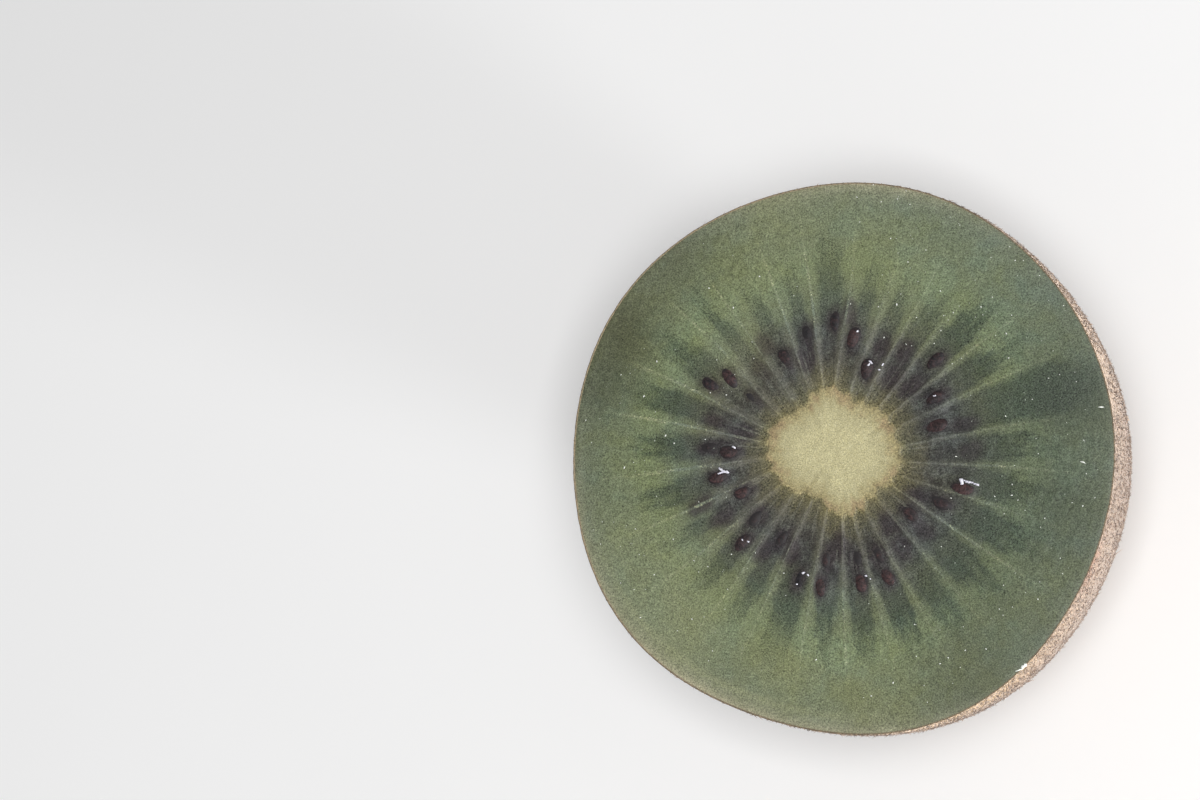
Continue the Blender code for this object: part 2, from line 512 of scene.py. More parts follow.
def build_core(material):
    """The pale core: its grainy crown and its tapering root down inside the flesh."""
    columns = LANES.columns
    steps = np.linspace(1.0, 0.06, 26)
    edge = core_edge()
    blend = steps[:, None] ** 2
    reach = steps[:, None] * (edge[None, :] * blend + edge.mean() * (1.0 - blend))
    flat = on_face(LANES.inner, reach).reshape(-1, 2)
    core_mm = ((reach - edge[None, :]) / MM).ravel()
    across = np.tile(LANES.across, len(steps))
    top = np.column_stack((flat, DEPTH + face_height(flat, across, np.zeros(len(flat)), core_mm)))
    root = root_rings(0.96, 0.58)
    points = np.vstack(root + [top])
    middle = len(points)
    faces = [face[::-1] for face in ring_faces(middle // columns, columns)]
    last = middle - columns
    for column in range(columns):
        faces.append((last + column, last + (column + 1) % columns, middle))
    faces.append(tuple(reversed(range(columns))))
    points = np.vstack((points, (*CORE_MIDDLE, top[-columns:, 2].mean())))
    piece = new_piece("cut_core", points, faces, material, sharp=50.0)
    before = len(root) * columns
    add_values(piece, core_mm=np.concatenate((np.full(before, -3.0), core_mm, [-6.0])))
    map_cut_face(piece, columns, len(root), middle // columns, 1.3 * CORE_RADIUS)
    return piece


def blob(flat, lift, axes, sizes, segments=12, rings=8, taper=0.0, lumps=0.0, seed=0):
    """Points and faces of a closed egg at a flat place. Its middle's lift above the cut and its
    half sizes along three axes are in millimetres."""
    phase = default_rng(seed).uniform(0.0, math.tau, 3)
    polar = np.repeat(math.pi * np.arange(1, rings) / rings, segments)
    turn = np.tile(math.tau * np.arange(segments) / segments, rings - 1)
    body = (np.cos(polar), np.sin(polar) * np.cos(turn), np.sin(polar) * np.sin(turn))
    points = np.vstack(((1.0, 0.0, 0.0), np.column_stack(body), (-1.0, 0.0, 0.0)))
    swell = 1.0 + lumps * np.sin(3.1 * points[:, 0] + phase[0]) * np.sin(2.7 * points[:, 1] + phase[1])
    points = points * swell[:, None]
    points[:, 1:] *= 1.0 - taper * points[:, :1]
    placed = (*flat, DEPTH + lift * MM) + (points * np.array(sizes) * MM) @ axes
    end = len(points) - 1
    last = end - segments
    steps = [(step, (step + 1) % segments) for step in range(segments)]
    faces = [(0, 1 + step, 1 + after) for step, after in steps]
    faces += ring_faces(rings - 1, segments, 1)
    faces += [(last + step, end, last + after) for step, after in steps]
    return placed, faces


def joined_piece(name, parts, material, tones):
    """One piece made of many small closed shapes, each with a tone of its own from 0 to 1."""
    points = []
    faces = []
    count = 0
    for part_points, part_faces in parts:
        points.append(part_points)
        faces.extend(tuple(corner + count for corner in face) for face in part_faces)
        count += len(part_points)
    piece = new_piece(name, np.vstack(points), faces, material)
    add_values(piece, tone=np.repeat(tones, [len(part_points) for part_points in points]))
    return piece


def lying_axes(heading, tilt=0.0, roll=0.0):
    """Axes of something that lies on the face: along its heading, across, and up."""
    turn = Matrix.Rotation(heading, 3, "Z") @ Matrix.Rotation(tilt, 3, "Y") @ Matrix.Rotation(roll, 3, "X")
    return np.array([list(column) for column in turn.col])


def build_seeds(material):
    """Seeds that lie open in the cut, each with its pointed end towards the core."""
    stream = default_rng(21)
    parts = []
    for number, (angle, reach, show, _, turn) in enumerate(SEEDS):
        sizes = SEED_SIZES * stream.uniform(0.94, 1.06)
        lift = 0.29 * show - 0.14 - sizes[2]
        axes = lying_axes(math.radians(angle + turn), stream.normal(0.0, 0.04), stream.normal(0.0, 0.10))
        parts.append(blob(
            spot(angle, reach), lift, axes, sizes, 20, 14, taper=-0.15, lumps=0.06, seed=100 + number,
        ))
    return joined_piece("seeds", parts, material, [row[3] for row in SEEDS])


def build_jelly_glints(material):
    """Wet jelly that clings to the seeds in short crumpled strings, glossy and painted near white as glints.
    """
    stream = default_rng(31)
    parts = []
    for number, (angle, reach, length, width, heading) in enumerate(JELLY_GLINTS):
        along = math.radians(heading)
        ahead = MM * np.array((math.cos(along), math.sin(along)))
        aside = MM * np.array((-math.sin(along), math.cos(along)))
        count = max(1, round(0.8 * length / width))
        for link in range(count):
            slide = ((link + 0.5) * 2.0 / count - 1.0) * (length - width * 0.5) * (count > 1)
            drift = stream.uniform(-0.35, 0.35) * width * (count > 1)
            place = spot(angle, reach) + slide * ahead + drift * aside
            bend = along + stream.normal(0.0, 0.15)
            size = stream.uniform(0.75, 1.15)
            half = max(width, length / count * 1.25) * size
            sizes = (half, width * size, 0.13)
            parts.append(blob(place, 0.08, lying_axes(bend), sizes, lumps=0.25, seed=200 + number))
    return joined_piece("glint_jelly", parts, material, stream.uniform(0.0, 1.0, len(parts)))


def build_flecks_and_glints(material):
    """Bits of burst pulp on the cut face, many tiny ones painted white as glints, most outside the seed
    chambers.
    """
    stream = default_rng(41)
    parts = []
    tones = []
    for number in range(FLECKS):
        middle, spread = FLECK_DRIFTS[int(stream.integers(len(FLECK_DRIFTS)))]
        angle = stream.normal(middle, spread)
        place = spot(angle, FLECK_REACH * math.sqrt(stream.uniform(0.20, 1.0)))
        tone = stream.uniform(0.0, 1.0)
        size = 0.026 + 0.036 * tone ** 2
        axes = lying_axes(stream.uniform(0.0, math.tau), stream.normal(0.0, 0.3))
        sizes = (size * stream.uniform(1.0, 1.9), size, size * 0.6)
        parts.append(blob(place, 0.0, axes, sizes, 7, 5, lumps=0.3, seed=1000 + number))
        tones.append(tone)
    for number, (angle, reach, length, width, heading) in enumerate(SHREDS):
        axes = lying_axes(math.radians(heading), 0.05)
        sizes = (length, width, 0.12)
        parts.append(blob(spot(angle, reach), 0.06, axes, sizes, lumps=0.35, seed=2000 + number))
        tones.append(1.0)
    return joined_piece("pulp_flecks_and_glints", parts, material, tones)


def side_point(angle, depth, inset=0.0):
    """Points on the side at angles round the fruit's axis and depths below the cut."""
    reach = (FACE_RADIUS - inset) * wavy(angle, FACE_WAVES) * side_reach(depth)
    return np.stack((
        AXIS[0] + reach * np.cos(angle),
        AXIS[1] + reach * np.sin(angle),
        DEPTH - depth,
    ), axis=-1)


def side_normal(angle, depth):
    """Outward directions of the side."""
    step = 0.01 * MM
    below = np.minimum(depth + step, DEPTH)
    above = np.maximum(depth - step, 0.0)
    down = side_point(angle, below) - side_point(angle, above)
    round_about = side_point(angle + 1e-4, depth) - side_point(angle - 1e-4, depth)
    normal = np.cross(down, round_about)
    return normal / np.linalg.norm(normal, axis=-1, keepdims=True)


def build_peel(material):
    """The peel: a thin closed shell from its cut edge down to the scar at the stalk end."""
    columns = PEEL_COLUMNS
    angle = math.tau * np.arange(columns) / columns
    bearing = np.degrees(angle)
    golden = 0.20 + rim_patches(bearing, GOLDEN)
    rusty = rim_patches(bearing, RUSTY)
    rows = []
    looks = []

    def add(points, cut=0.0, scar=0.0, depth=0.0):
        rows.append(points)
        looks.append((
            np.full(columns, cut),
            np.full(columns, scar),
            golden * (1.0 - smooth(1.0 * MM, 9.0 * MM, depth)),
            rusty * (1.0 - smooth(0.5 * MM, 4.0 * MM, depth)),
            browning(angle, depth),
        ))

    inner_depths = (DEPTH - PEEL) * np.sin(math.pi / 2.0 * np.linspace(0.98, 0.01, 14))
    for depth in inner_depths:
        add(side_point(angle, np.full(columns, depth), PEEL))
    ragged = rough([(math.cos(a) * 27.0, math.sin(a) * 27.0, 0.0) for a in angle], 0.8) * 0.10 * MM
    for inset, height, cut in ((0.98, -0.02, 1.0), (0.80, 0.03, 1.0), (0.45, 0.05, 0.7), (0.12, 0.01, 0.4)):
        edge = side_point(angle, np.zeros(columns), PEEL * inset)
        edge[:, 2] += height * MM + ragged
        add(edge, cut)
    depths = DEPTH * np.sin(math.pi / 2.0 * np.linspace(0.0, 1.0, PEEL_RINGS))
    depths[0] = 0.05 * MM
    for depth in depths[:-1]:
        level = np.full(columns, depth)
        ground = side_point(angle, level)
        swell = rough(ground, 7.0 * MM, 2) * 0.09 + rough(ground, 1.6 * MM, 2) * 0.040
        swell += rough(ground, 0.7 * MM, 2) * 0.045 - 0.06
        fade = smooth(0.0, 1.2 * MM, DEPTH - level)
        raised = ground + side_normal(angle, level) * (swell * fade * MM)[:, None]
        raised[:, 2] = np.maximum(raised[:, 2], 0.0)
        add(raised, 0.12 * (depth < 0.1 * MM), depth=depth)
    foot = side_point(angle, np.full(columns, DEPTH))[:, :2] - AXIS
    for share, lift, scar in FOOT_RINGS:
        ring = level_ring(foot * share, 0.0)
        crumb = np.maximum(rough(ring, 0.9 * MM, 2) * 0.10 * MM * (lift > 0.0), 0.0)
        add(ring + np.column_stack((np.tile(AXIS, (columns, 1)), lift * MM + crumb)), 0.0, scar, DEPTH)
    points, faces = capped_tube(rows, columns)
    piece = new_piece("peel", points, faces, material, sharp=70.0)
    add_values(piece, **dict(zip(("cut", "scar", "gold", "rust", "brown"), np.hstack(looks))))
    map_peel(piece, len(inner_depths), points.reshape(-1, columns, 3)[:, 0])
    return piece


def map_peel(piece, hidden, profile):
    """Roll the outside of the peel out in two strips, with the hidden rings in a narrow third."""
    corners = Corners(piece.data, PEEL_COLUMNS)
    steps = np.linalg.norm(np.diff(profile[hidden:], axis=0), axis=1)
    drop = np.concatenate((np.zeros(hidden + 1), np.cumsum(steps) / steps.sum()))[corners.ring]
    shown = corners.face_ring >= hidden
    strip = corners.face_column * 2 // PEEL_COLUMNS
    add_bake_map(
        piece,
        np.where(shown, corners.column * 2.0 / PEEL_COLUMNS - strip, corners.column / PEEL_COLUMNS),
        np.where(shown, 0.03 + 0.485 * strip + 0.475 * drop, 0.025 * corners.ring / hidden),
    )


def strand_roots(stream, count, highest, lowest):
    """Random angles and depths spread evenly over the side, below a level of its own for the
    brown back and for the pale side."""
    angle = stream.uniform(0.0, math.tau, count * 2)
    share = stream.uniform(0.0, 1.0, count * 2)
    depth = highest[0] + (DEPTH - lowest - highest[0]) * np.sin(math.pi / 2.0 * share)
    keep = stream.uniform(0.0, 1.0, count * 2) < side_reach(depth) ** 0.8
    keep &= (depth > highest[1]) | (browning(angle, 0.0) > 0.8)
    return angle[keep][:count], depth[keep][:count]


def build_fuzz(name, count, highest, length_range, radius, rings, seed, material):
    """Hairs on the peel as one mesh: each a bent, three-sided strand that tapers to a point."""
    stream = default_rng(seed)
    angle, depth = strand_roots(stream, count, np.array(highest) * MM, 1.2 * MM)
    count = len(angle)
    root = side_point(angle, depth)
    normal = side_normal(angle, depth)
    round_about = np.stack((-np.sin(angle), np.cos(angle), np.zeros(count)), axis=-1)
    down = np.cross(round_about, normal)
    down = down / np.linalg.norm(down, axis=-1, keepdims=True)
    heading = stream.normal(0.0, 0.9, count)
    lie = np.cos(heading)[:, None] * down + np.sin(heading)[:, None] * round_about
    side = np.cross(normal, lie)
    lift = stream.uniform(0.08, 0.50, count)
    curl = stream.uniform(-0.9, 0.3, count)
    swing = stream.normal(0.0, 0.5, count)
    length = stream.uniform(*length_range, count) * MM
    thick = radius * MM * stream.uniform(0.7, 1.3, count)

    def spine(share):
        rise = np.maximum(lift * share + curl * 0.5 * share ** 2, 0.04 * share)
        return root + length[:, None] * (
            lie * (share * np.cos(lift))[:, None]
            + normal * rise[:, None]
            + side * (0.35 * swing * share ** 2)[:, None]
        )

    rows = []
    shares = np.linspace(0.0, 1.0, rings + 1)
    for share in shares[:-1]:
        centre = spine(share) - normal * 0.02 * MM
        width = (thick * (1.0 - 0.75 * share))[:, None]
        for turn in math.tau * np.arange(3) / 3.0:
            rows.append(centre + width * (side * math.cos(turn) + normal * math.sin(turn)))
    rows.append(spine(1.0))
    points = np.stack(rows, axis=1).reshape(-1, 3)
    points[:, 2] = np.maximum(points[:, 2], 0.05 * MM)
    each = rings * 3 + 1
    low = each - 4
    pattern = [(0, 2, 1)] + [(face[0], *face[:0:-1]) for face in ring_faces(rings, 3)]
    pattern += [(low + corner, low + (corner + 1) % 3, each - 1) for corner in range(3)]
    faces = [
        tuple(corner + strand * each for corner in face)
        for strand in range(count)
        for face in pattern
    ]
    piece = new_piece(name, points, faces, material, sharp=180.0)
    along = np.tile(np.append(np.repeat(shares[:-1], 3), 1.0), count)
    tone = np.repeat(stream.uniform(0.0, 1.0, count), each)
    add_values(piece, tone=tone, along=along, brown=np.repeat(browning(angle, depth), each))
    vertex = Corners(piece.data, each).vertex
    sideways = (vertex % each % 3 - 1) * 0.003
    add_bake_map(piece, 0.02 + 0.96 * tone[vertex] + sideways, 0.02 + 0.96 * along[vertex])
    return piece


# ---------------------------------------------------------------- materials
class Nodes:
    """Short ways to wire up a node material."""

    def __init__(self, name):
        self.material = bpy.data.materials.new(name)
        self.material.use_nodes = True
        self.tree = self.material.node_tree
        self.shader = self.tree.nodes["Principled BSDF"]

    def put(self, socket, value):
        """Link a socket, or set a plain value, on another socket."""
        if isinstance(value, bpy.types.NodeSocket):
            self.tree.links.new(value, socket)
        elif isinstance(value, tuple) and len(value) == 3 and len(socket.default_value) == 4:
            socket.default_value = (*value, 1.0)
        else:
            socket.default_value = value

    def node(self, kind, output, inputs=(), **settings):
        """One output of a new node, with its inputs by name or number, and its settings."""
        node = self.tree.nodes.new("ShaderNode" + kind)
        for name, value in settings.items():
            setattr(node, name, value)
        for name, value in dict(inputs).items():
            self.put(node.inputs[name], value)
        return node.outputs[output]

    def value(self, name):
        """A number stored on the mesh."""
        return self.node("Attribute", "Fac", attribute_name=name)

    def math(self, operation, *numbers, clamp=False):
        """One arithmetic step."""
        return self.node("Math", 0, enumerate(numbers), operation=operation, use_clamp=clamp)

    def times(self, product, *numbers):
        """The product of several numbers."""
        for number in numbers:
            product = self.math("MULTIPLY", product, number)
        return product

    def line(self, value, slope, start, clamp=False):
        """A number times a slope, plus a start."""
        return self.math("MULTIPLY_ADD", value, slope, start, clamp=clamp)

    def span(self, value, low, high, to_low=0.0, to_high=1.0, kind="SMOOTHSTEP"):
        """Map a number from one span to another, clamped."""
        names = ("Value", "From Min", "From Max", "To Min", "To Max")
        numbers = (value, low, high, to_low, to_high)
        return self.node("MapRange", "Result", zip(names, numbers), interpolation_type=kind)

    def mix(self, share, first, second, blend="MIX"):
        """Mix two colours."""
        inputs = {0: share, 6: first, 7: second}
        return self.node("Mix", 2, inputs, data_type="RGBA", blend_type=blend)

    def ramp(self, value, *stops):
        """A colour for each number: stops are (place, red, green, blue), colours from 0 to 255."""
        node = self.tree.nodes.new("ShaderNodeValToRGB")
        node.color_ramp.interpolation = "EASE"
        elements = node.color_ramp.elements
        while len(elements) < len(stops):
            elements.new(0.5)
        for element, (place, *colour) in zip(elements, stops):
            element.position = place
            element.color = (*srgb(*colour), 1.0)
        self.put(node.inputs["Fac"], value)
        return node.outputs["Color"]

    def place(self, stretch=1.0):
        """The piece's own coordinates in millimetres, with the height times a stretch."""
        scale = (1.0 / MM, 1.0 / MM, stretch / MM)
        return self.node("Mapping", "Vector", {"Vector": self.node("TexCoord", "Object"), "Scale": scale})

    def fibre(self, share, along):
        """Place across and along the fibres, which run outward: they are longer where along is small."""
        return self.node("CombineXYZ", 0, {0: self.value("lane"), 1: self.times(share, along)})

    def noise(self, vector, scale, detail=2.0, roughness=0.5, distortion=0.0):
        """Noise from 0 to 1."""
        names = ("Vector", "Scale", "Detail", "Roughness", "Distortion")
        return self.node("TexNoise", "Fac", zip(names, (vector, scale, detail, roughness, distortion)))

    def cells(self, vector, scale):
        """Distance from the middles of Voronoi cells."""
        return self.node("TexVoronoi", "Distance", {"Vector": vector, "Scale": scale})

    def scaled(self, colour, factor):
        """A colour times a number."""
        return self.node("VectorMath", 0, {0: colour, "Scale": factor}, operation="SCALE")

    def bump(self, height, distance, strength):
        """Bump from a height."""
        return self.node("Bump", "Normal", {"Strength": strength, "Distance": distance, "Height": height})

    def finish(self, **sockets):
        """Set the shader's own sockets; underscores stand for spaces."""
        for name, value in sockets.items():
            self.put(self.shader.inputs[name.replace("_", " ")], value)
        return self.material


def srgb(*parts):
    """Linear colour of a screen colour given from 0 to 255."""
    shares = [part / 255.0 for part in parts]
    return tuple(share / 12.92 if share <= 0.04045 else ((share + 0.055) / 1.055) ** 2.4 for share in shares)


def core_colour(nodes, depth_mm):
    """Cream core with a tan, granular edge. depth_mm is 0 at the edge, less inside."""
    place = nodes.place()
    fine = nodes.noise(place, 3.4, 4.0, 0.8)
    teeth = nodes.line(nodes.noise(place, 0.9), 0.7, nodes.line(fine, 1.5, -1.10))
    share = nodes.span(nodes.math("ADD", depth_mm, teeth), -3.2, 1.2, kind="LINEAR")
    tan_patch = nodes.span(nodes.noise(place, 0.45, 3.0), 0.44, 0.60)
    tan = nodes.mix(tan_patch, srgb(178, 165, 118), srgb(164, 140, 108))
    cream = nodes.ramp(
        share,
        (0.00, 195, 188, 146), (0.30, 185, 178, 138), (0.52, 175, 166, 125), (0.68, 158, 147, 108),
        (0.80, 118, 112, 82), (0.94, 86, 84, 64),
    )
    edge = nodes.times(nodes.span(share, 0.40, 0.64), nodes.span(share, 0.80, 0.66))
    colour = nodes.mix(nodes.times(edge, nodes.line(tan_patch, 0.40, 0.15)), cream, tan)
    granules = nodes.span(nodes.noise(place, 4.4, 2.0, 0.8), 0.36, 0.64, -0.30, 0.24, "LINEAR")
    rim = nodes.times(nodes.span(share, 0.44, 0.66), nodes.span(share, 1.0, 0.76))
    return nodes.scaled(colour, nodes.line(granules, rim, 1.0)), share


def core_material():
    """The core's finish."""
    nodes = Nodes("core_pulp")
    colour, _ = core_colour(nodes, nodes.value("core_mm"))
    place = nodes.place()
    grain = nodes.noise(place, 7.6, 2.0, 1.0)
    shade = nodes.times(nodes.line(grain, 2.4, -0.2), nodes.line(nodes.noise(place, 1.1), 0.06, 0.97))
    height = nodes.line(nodes.cells(place, 3.2), 0.5, grain)
    return nodes.finish(
        Base_Color=nodes.scaled(colour, shade),
        Roughness=nodes.span(grain, 0.3, 0.7, 0.42, 0.60),
        IOR=1.38,
        Subsurface_Weight=0.10,
        Subsurface_Radius=(1.0, 0.9, 0.5),
        Subsurface_Scale=0.3 * MM,
        Normal=nodes.bump(height, 0.03 * MM, 0.35),
    )


def finger_mask(nodes, share, loose):
    """How dark each chamber is: full between its walls near the seeds, then a fading finger."""
    splinter = nodes.noise(nodes.fibre(share, 1.2), 6.0, 3.0, 0.6)
    reach = nodes.line(splinter, 0.50, nodes.math("SUBTRACT", nodes.value("reach"), 0.25))
    past = nodes.math("SUBTRACT", share, reach)
    run = nodes.span(past, 0.24, -0.18, kind="LINEAR")
    half = nodes.times(nodes.math("POWER", run, 0.60), 0.76, nodes.value("breadth"))
    gap = nodes.math("SUBTRACT", half, nodes.math("ADD", nodes.value("across"), loose))
    sides = nodes.span(gap, -0.21, 0.21)
    end = nodes.span(past, 0.23, -0.13)
    return nodes.times(sides, end, nodes.value("dark"))


def pale_lines(nodes, share, place, loose):
    """Strength of the pale lines: one on each wall, and finer ones that fan out of the core."""
    broken = nodes.span(nodes.noise(place, 1.0, 3.0, 0.6), 0.30, 0.62, 0.35, 1.0)
    thickness = nodes.span(share, 0.0, 0.7, 0.10, 0.19, "LINEAR")
    gap = nodes.line(loose, 0.5, nodes.value("wall_mm"))
    wall = nodes.span(nodes.math("DIVIDE", gap, thickness), 1.0, 0.25)
    fade = nodes.times(nodes.span(share, 0.60, 0.92, 1.10, 0.0), nodes.span(share, 0.05, 0.40, 0.70, 1.0))
    wall = nodes.times(wall, fade, nodes.value("vein"))
    threads = nodes.span(nodes.noise(nodes.fibre(share, 0.4), 8.0, 2.0, 0.6), 0.55, 0.65)
    threads = nodes.times(threads, nodes.span(share, 0.06, 0.42, 0.60, 0.0))
    return nodes.times(nodes.math("MAXIMUM", wall, threads), broken), wall


def chamber_colour(nodes, share, place, finger):
    """Two runs of colour from the core to the peel, the chambers' middles and the walls, then gel."""
    chamber = nodes.ramp(
        share,
        (0.00, 114, 108, 80), (0.08, 90, 87, 68), (0.16, 79, 76, 66), (0.26, 72, 72, 67),
        (0.38, 78, 83, 71), (0.52, 71, 81, 65), (0.68, 74, 86, 66), (0.88, 86, 95, 77),
    )
    between = nodes.ramp(
        share,
        (0.00, 120, 115, 88), (0.08, 97, 94, 79), (0.18, 88, 87, 79), (0.30, 99, 101, 88),
        (0.42, 109, 116, 90), (0.62, 118, 129, 96), (0.78, 112, 121, 93), (1.00, 109, 117, 95),
    )
    colour = nodes.mix(finger, between, chamber)

    # Clear gel in the chambers: cloudy, from nearly black to a cool grey.
    gel = nodes.times(finger, nodes.span(share, 0.08, 0.18), nodes.span(share, 0.44, 0.25), 0.62)
    cloud = nodes.noise(place, 1.25, 3.0, 0.65)
    pool = nodes.mix(nodes.span(cloud, 0.38, 0.68), srgb(40, 38, 40), srgb(97, 101, 93))
    return nodes.mix(gel, colour, pool)


def wall_colour(nodes, share, place, loose, colour):
    """Fibres that run outward, the pale walls, and pale beads on them, painted as glints."""
    fibres = nodes.noise(nodes.fibre(share, 3.0), 7.0, 4.0, 0.65)
    fibre_gain = nodes.span(share, 0.04, 0.35, 1.05, 0.42, "LINEAR")
    colour = nodes.scaled(colour, nodes.line(nodes.math("SUBTRACT", fibres, 0.5), fibre_gain, 1.0))
    wall = nodes.ramp(
        share,
        (0.00, 154, 146, 112), (0.10, 112, 111, 98), (0.24, 108, 110, 102), (0.40, 120, 128, 109),
        (0.60, 134, 142, 111), (0.85, 138, 146, 112),
    )
    lines, main_line = pale_lines(nodes, share, place, loose)
    colour = nodes.mix(lines, colour, wall)
    # Painted glints: pale granule beads along the main walls.
    glint_beads = nodes.span(nodes.noise(place, 4.6, 2.0, 0.8), 0.57, 0.68)
    glint_beads = nodes.times(glint_beads, main_line, nodes.span(share, 0.20, 0.45, 0.3, 0.95))
    return nodes.mix(glint_beads, colour, srgb(196, 198, 158))


def patchy(nodes, place, wander, colour):
    """Broad uneven patches, listed spots of shade and warmth, and the pale lines under the peel."""
    colour = nodes.scaled(colour, nodes.line(nodes.noise(place, 0.13, 3.0, 0.6), 0.40, 0.80))
    hue = nodes.noise(place, 0.26, 3.0, 0.55)
    colour = nodes.mix(nodes.span(hue, 0.50, 0.66), colour, (0.95, 1.0, 1.07), "MULTIPLY")
    colour = nodes.mix(nodes.span(hue, 0.50, 0.34), colour, (1.04, 1.02, 0.92), "MULTIPLY")
    for name, full, most, tint, blend in (
        ("shade", 1.0, 0.75, srgb(65, 72, 60), "MIX"),
        ("shade", -1.0, 0.55, srgb(146, 150, 112), "MIX"),
        ("warmth", 1.0, 1.0, (1.10, 1.00, 0.80), "MULTIPLY"),
        ("warmth", -1.0, 1.0, (0.93, 0.99, 1.12), "MULTIPLY"),
    ):
        much = nodes.span(nodes.value(name), 0.0, full, 0.0, most, "LINEAR")
        colour = nodes.mix(much, colour, tint, blend)
    vessel = nodes.times(nodes.value("ring"), nodes.span(wander, 0.3, 0.6, 0.2, 0.6))
    colour = nodes.mix(vessel, colour, srgb(142, 147, 112))
    under_peel = nodes.times(nodes.value("pale_rim"), nodes.span(hue, 0.35, 0.6, 0.75, 1.15))
    return nodes.mix(under_peel, colour, srgb(172, 168, 140))


def flesh_material():
    """Wet green flesh: pale walls, dark seed chambers that end in soft fingers, a lighter band."""
    nodes = Nodes("flesh_pulp")
    place = nodes.place()
    wander = nodes.noise(place, 0.60, 4.0, 0.65)
    loose = nodes.line(wander, 0.50, -0.25)
    share = nodes.line(loose, 0.16, nodes.value("share"))
    finger = finger_mask(nodes, share, loose)
    colour = chamber_colour(nodes, share, place, finger)

    # Seeds darken the pulp over and round them.
    colour = nodes.mix(nodes.times(nodes.value("bury"), 0.80), colour, srgb(54, 46, 49))
    colour = nodes.mix(nodes.times(nodes.value("halo"), 0.90), colour, srgb(53, 46, 48))
    colour = wall_colour(nodes, share, place, loose, colour)

    # The core's tan edge runs a little way into the flesh.
    pale, core_share = core_colour(nodes, nodes.value("core_mm"))
    colour = nodes.mix(nodes.span(core_share, 0.96, 0.74), colour, pale)
    colour = patchy(nodes, place, wander, colour)

    # Fine grain all over, strongest in the chambers.
    grain = nodes.noise(place, 6.2, 2.0, 1.0)
    pulp = nodes.noise(place, 1.7, 3.0, 0.65)
    gain = nodes.line(nodes.math("SUBTRACT", grain, 0.5), nodes.line(finger, 1.8, 3.3), 1.0)
    return nodes.finish(
        Base_Color=nodes.scaled(colour, nodes.times(gain, nodes.line(pulp, 0.50, 0.75))),
        Roughness=nodes.span(pulp, 0.3, 0.7, 0.36, 0.52),
        IOR=1.36,
        Subsurface_Weight=0.10,
        Subsurface_Radius=(0.7, 1.0, 0.5),
        Subsurface_Scale=0.4 * MM,
        Normal=nodes.bump(nodes.line(pulp, 1.5, grain), 0.04 * MM, 0.6),
    )


def seed_material():
    """Wet seeds from nearly black to maroon, each with its own tone, finely mottled."""
    nodes = Nodes("seed_coat")
    place = nodes.place()
    mottle = nodes.noise(place, 2.6, 4.0, 0.8)
    fine = nodes.noise(place, 4.4, 2.0, 0.9)
    tone = nodes.line(nodes.value("tone"), 0.8, nodes.line(mottle, 2.6, -1.4), clamp=True)
    colour = nodes.mix(tone, srgb(33, 31, 34), srgb(69, 48, 47))
    colour = nodes.scaled(colour, nodes.math("MAXIMUM", nodes.line(fine, 4.6, -1.3), 0.25))
    # The low part of each seed, round its edge where it sinks into the pulp, turns dark grey.
    above_cut = nodes.math("SUBTRACT", nodes.node("SeparateXYZ", "Z", {0: place}), DEPTH / MM + 0.08)
    height = nodes.line(mottle, 0.16, above_cut)
    return nodes.finish(
        Base_Color=nodes.mix(nodes.span(height, 0.07, -0.03), colour, srgb(45, 42, 43)),
        Roughness=nodes.span(mottle, 0.3, 0.7, 0.46, 0.62),
        IOR=1.36,
        Normal=nodes.bump(nodes.math("ADD", mottle, fine), 0.05 * MM, 0.5),
    )


def jelly_glint_material():
    """Wet jelly with a faint lilac cast, coloured near white as painted glints."""
    nodes = Nodes("glint_jelly")
    ripple = nodes.noise(nodes.place(), 3.0)
    return nodes.finish(
        Base_Color=nodes.mix(ripple, srgb(196, 192, 214), srgb(252, 252, 255)),
        Roughness=0.12,
        IOR=1.40,
        Normal=nodes.bump(ripple, 0.05 * MM, 0.5),
    )


def fleck_glint_material():
    """Pale bits of burst pulp, and tiny ones painted white as glints."""
    nodes = Nodes("pulp_fleck_glint")
    pale = nodes.mix(nodes.noise(nodes.place(), 4.0), srgb(232, 236, 226), srgb(252, 252, 248))
    return nodes.finish(
        Base_Color=nodes.mix(nodes.value("tone"), srgb(158, 168, 148), pale),
        Roughness=0.35,
        IOR=1.38,
    )


